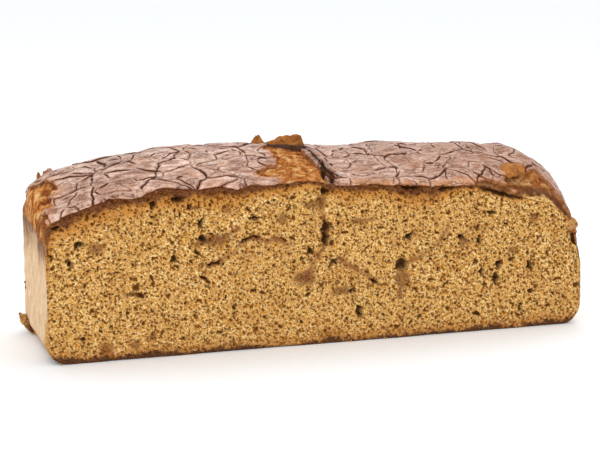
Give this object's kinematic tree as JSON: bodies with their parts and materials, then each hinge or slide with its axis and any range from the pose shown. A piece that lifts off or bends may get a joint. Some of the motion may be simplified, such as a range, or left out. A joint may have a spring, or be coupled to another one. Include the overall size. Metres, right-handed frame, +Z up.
{
  "type": "spice cake loaf",
  "caption": "Long spice cake loaf cut along its length, with open golden-brown crumb and air holes under a thin cracked and flaking brown crust, standing on a flat dark-baked base",
  "frame": {"origin": "Centre of the flat base, on the surface that the loaf rests on", "axes": "+X along the loaf, to the right as seen facing the cut face; +Y from the cut face to the back; +Z up"},
  "size_m": [0.2656, 0.0741, 0.0944],
  "materials": {
    "cake_crumb": "open golden-brown cake crumb, matt and full of small pores",
    "cake_crust": "thin satin brown crust with fine cracks"
  },
  "bodies": {
    "root": {"spice_cake_loaf": "cake_crumb"}
  },
  "joints": []
}
